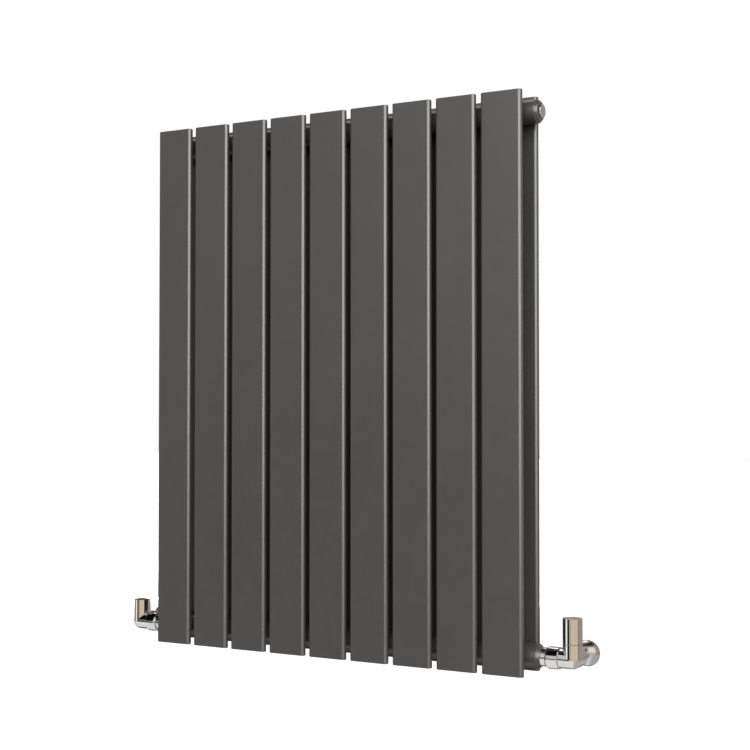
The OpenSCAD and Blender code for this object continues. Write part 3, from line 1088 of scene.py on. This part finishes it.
def light_all_but_polished(light):
    """Polished metal shows the room instead of this light."""
    lit = bpy.data.collections.new(light.name + "_receivers")
    shiny = (MATERIALS["chrome"], MATERIALS["brass"], SATIN)
    for piece in bpy.data.objects:
        if piece.type == "MESH" and piece.data.materials and piece.data.materials[0] not in shiny:
            lit.objects.link(piece)
    light.light_linking.receiver_collection = lit


def make_studio():
    """Room in broad panels that polished metal reflects; the camera itself sees plain white.

    Azimuth 0 is straight in front of the radiator and 90 to its right.
    """
    studio = World()
    taupe, umber, brown = (0.34, 0.31, 0.29), (0.12, 0.045, 0.02), (0.30, 0.22, 0.19)
    beige, olive, black = (0.76, 0.65, 0.52), (0.46, 0.40, 0.26), (0.003, 0.003, 0.005)
    white, grey, glare = (0.95, 0.96, 0.97), (0.62, 0.60, 0.56), (1.5, 1.5, 1.5)
    window, skirting = (0.92, 0.91, 0.90), (0.16, 0.11, 0.08)
    stripe_rate = 0.36          # radians per degree: one stripe every 17.5 degrees
    stripes = studio.math("SINE", studio.math("MULTIPLY", studio.azimuth, stripe_rate))
    stripes = studio.math("ADD", studio.math("MULTIPLY", stripes, 0.5), 0.5)
    room = studio.mixed(stripes, beige, (0.56, 0.46, 0.35))
    whole = (-100, 100)
    panels = [
        (taupe, (98, 190), whole),
        (brown, (82, 98), whole),
        (olive, (-25, -1), whole),
        (taupe, (-190, -151), whole),
        (umber, (-151, -127), whole),
        (brown, (-127, -68), whole),
        (white, (-68, -43), whole),
        (black, (-43, -20), whole),
        (grey, (-38, -18), (0, 43)),
        (black, (-110, 200), (52, 100)),
        (black, (-110, -40), (20, 100)),
        (glare, (-152, -110), (36, 72)),
        (window, (-16, 82), (8, 50), 2.5),
        (skirting, (-24, 200), (-4.6, -2.4), 0.8),
    ]
    for panel in panels:
        room = studio.panel(room, *panel)
    pale, dim, dark = (0.80, 0.80, 0.785), (0.45, 0.44, 0.43), (0.22, 0.17, 0.14)
    ground = studio.mixed(studio.fade(studio.azimuth, 10, 60), pale, dim)
    ground = studio.panel(ground, dark, (-190, -100), (-62, 0), 6)
    room = studio.mixed(studio.fade(studio.elevation, -12, -15), room, ground)
    seen = studio.new("ShaderNodeBackground")
    studio.link(room, seen.inputs["Color"])
    backdrop = studio.new("ShaderNodeBackground")
    backdrop.inputs["Color"].default_value = (1, 1, 1, 1)
    choose = studio.new("ShaderNodeMixShader")
    studio.link(studio.new("ShaderNodeLightPath").outputs["Is Camera Ray"], choose.inputs[0])
    studio.link(seen.outputs[0], choose.inputs[1])
    studio.link(backdrop.outputs[0], choose.inputs[2])
    studio.link(choose.outputs[0], studio.new("ShaderNodeOutputWorld").inputs["Surface"])


make_camera()
make_floor()
make_flag()
light_all_but_polished(make_soft_box("key_light", **KEY_LIGHT))
for side_name, way in (("left", -1), ("right", 1)):
    back_light = make_soft_box("back_light_" + side_name, way * BACK_AZIMUTH, **BACK_LIGHT)
    back_light.visible_glossy = False
make_studio()

scene = bpy.context.scene
scene.view_settings.view_transform = "Standard"
scene.view_settings.look = "None"
